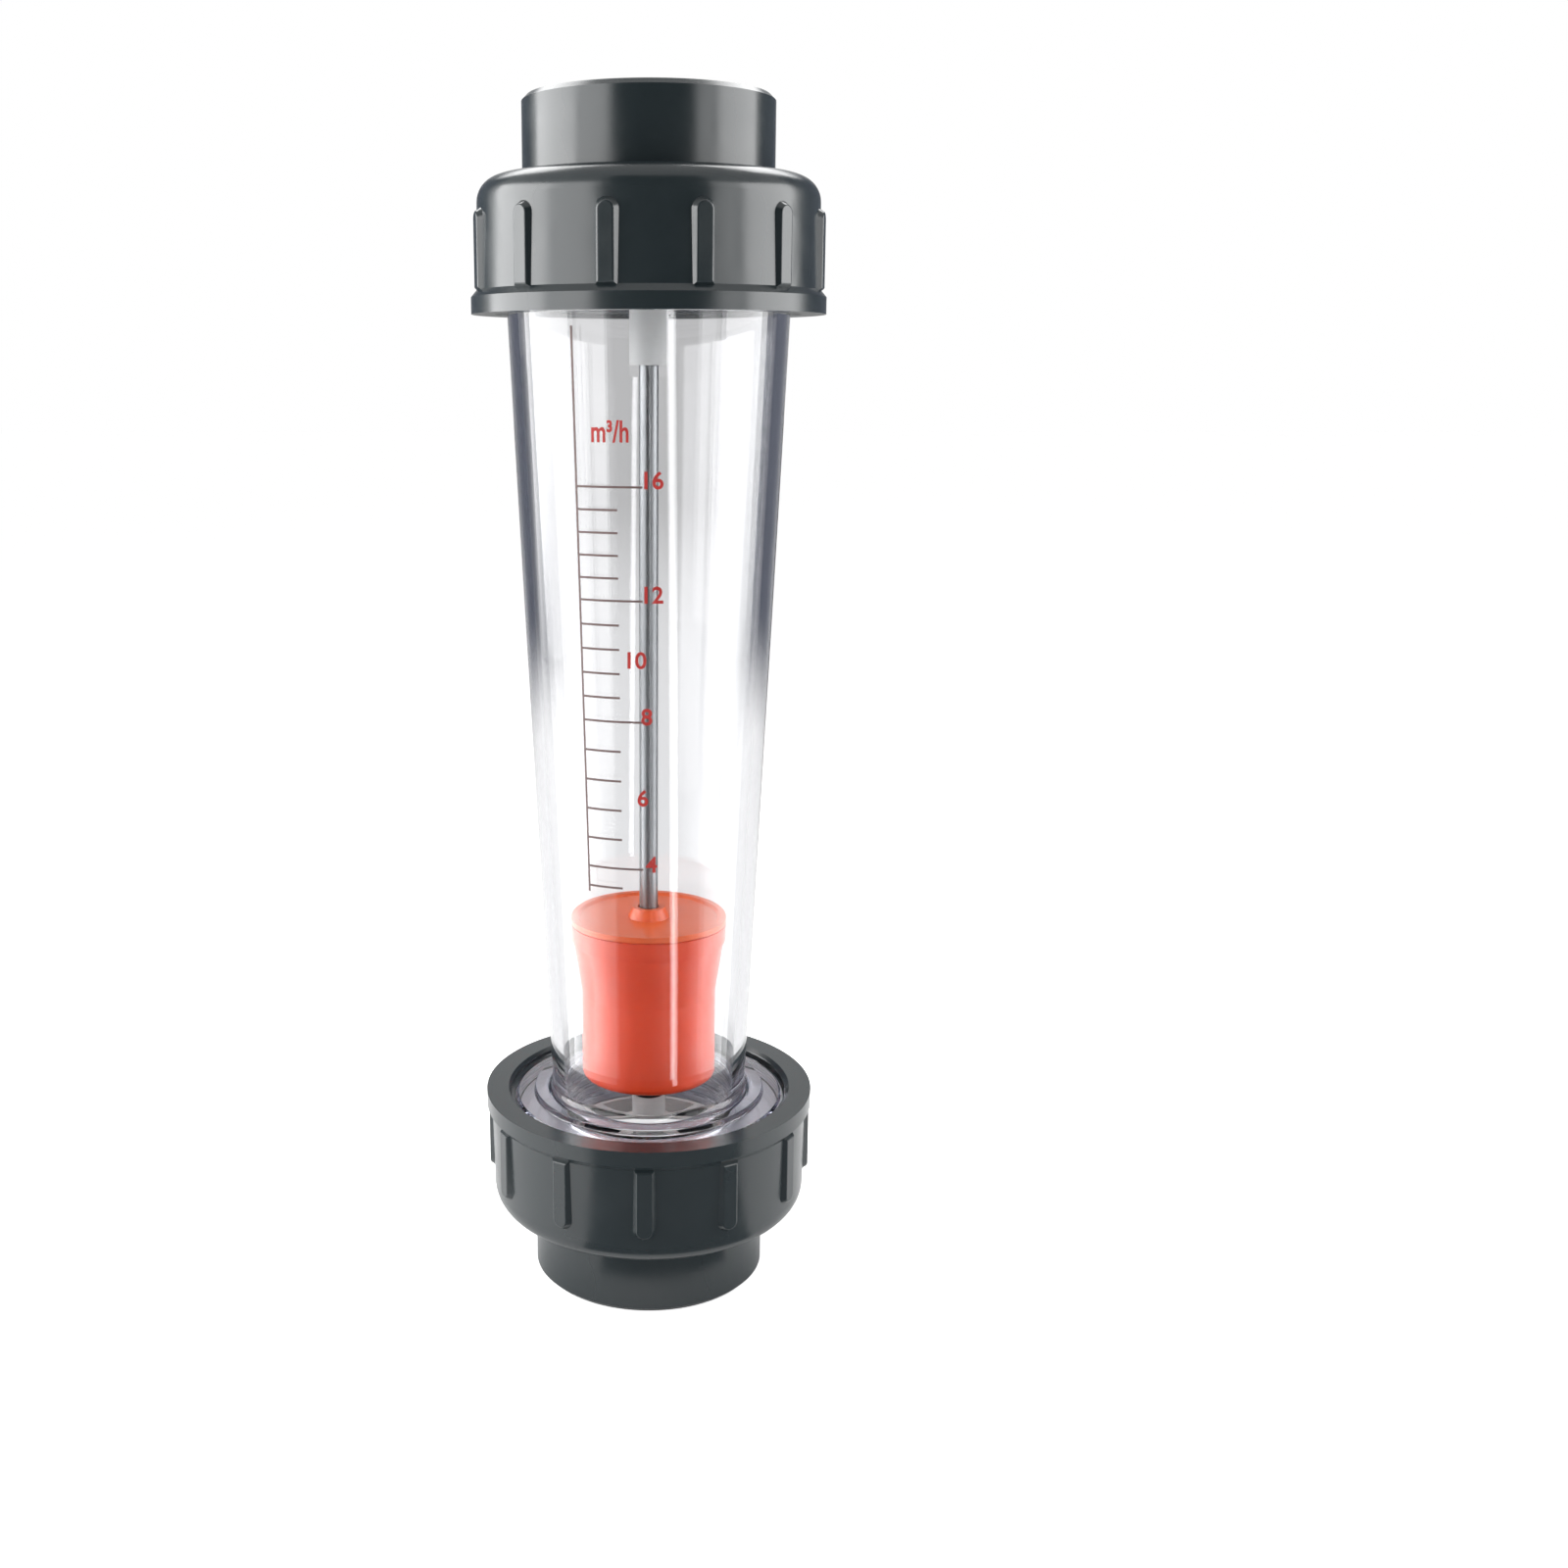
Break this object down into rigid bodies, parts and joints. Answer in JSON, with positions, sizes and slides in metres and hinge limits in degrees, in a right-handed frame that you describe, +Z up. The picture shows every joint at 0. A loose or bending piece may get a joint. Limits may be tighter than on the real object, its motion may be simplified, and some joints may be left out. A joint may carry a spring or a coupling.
{
  "type": "rotameter",
  "caption": "Variable-area flow meter: tapered clear tube with a printed scale, guided float, and solvent-socket unions at both ends.",
  "frame": {"origin": "centre of the lower socket's rim, on the flow axis", "axes": "+Z up along the flow axis, -Y towards the scale side (front), +X to the right"},
  "size_m": [0.108, 0.108, 0.376],
  "materials": {
    "clear_tube": "clear polished acrylic",
    "scale_print": "screen-printed ink, satin",
    "float_orange": "moulded, smooth",
    "rod_steel": "drawn stainless steel, polished",
    "fastener_steel": "stainless steel",
    "ballast_steel": "turned steel",
    "grey_pvc": "injection-moulded rigid PVC, smooth",
    "guide_white": "injection-moulded white polypropylene, satin",
    "white_ptfe": "turned, waxy",
    "buffer_rubber": "moulded",
    "gasket_white": "moulded white silicone, matt"
  },
  "bodies": {
    "meter_tube": {"measuring_tube": "clear_tube", "scale_marks": "scale_print", "guide_rod": "rod_steel", "lower_guide_support": "guide_white", "upper_guide_support": "guide_white", "lower_stop": "buffer_rubber", "upper_stop": "white_ptfe", "lower_rod_washer": "fastener_steel", "upper_rod_washer": "fastener_steel", "lower_rod_nut": "fastener_steel", "upper_rod_nut": "fastener_steel"},
    "float_guide": {"float_bush": "white_ptfe"},
    "float": {"float_body": "float_orange", "float_lid": "float_orange", "float_ballast": "ballast_steel"},
    "upper_end": {"upper_union_end": "grey_pvc", "upper_gasket": "gasket_white"},
    "upper_nut": {"upper_union_nut": "grey_pvc"},
    "lower_end": {"lower_union_end": "grey_pvc", "lower_gasket": "gasket_white"},
    "lower_nut": {"lower_union_nut": "grey_pvc"}
  },
  "joints": [
    {"name": "float_slide", "type": "slide", "parent": "meter_tube", "child": "float_guide", "axis": [0, 0, 1], "range_m": [0, 0.173]},
    {"name": "float_spin", "type": "hinge", "parent": "float_guide", "child": "float", "pos_m": [0, 0, 0], "axis": [0, 0, 1], "continuous": true},
    {"name": "upper_union_draw", "type": "slide", "parent": "meter_tube", "child": "upper_end", "axis": [0, 0, 1], "range_m": [0, 0.014]},
    {"name": "upper_nut_turn", "type": "hinge", "parent": "upper_end", "child": "upper_nut", "pos_m": [0, 0, 0.376], "axis": [0, 0, 1], "range_deg": [0, 1260]},
    {"name": "lower_union_draw", "type": "slide", "parent": "meter_tube", "child": "lower_end", "axis": [0, 0, -1], "range_m": [0, 0.014]},
    {"name": "lower_nut_turn", "type": "hinge", "parent": "lower_end", "child": "lower_nut", "pos_m": [0, 0, 0], "axis": [0, 0, -1], "range_deg": [0, 1260]}
  ],
  "couplings": [
    {"joint": "upper_union_draw", "follows": "upper_nut_turn", "m_per_rad": 0.00063662},
    {"joint": "lower_union_draw", "follows": "lower_nut_turn", "m_per_rad": 0.00063662}
  ]
}
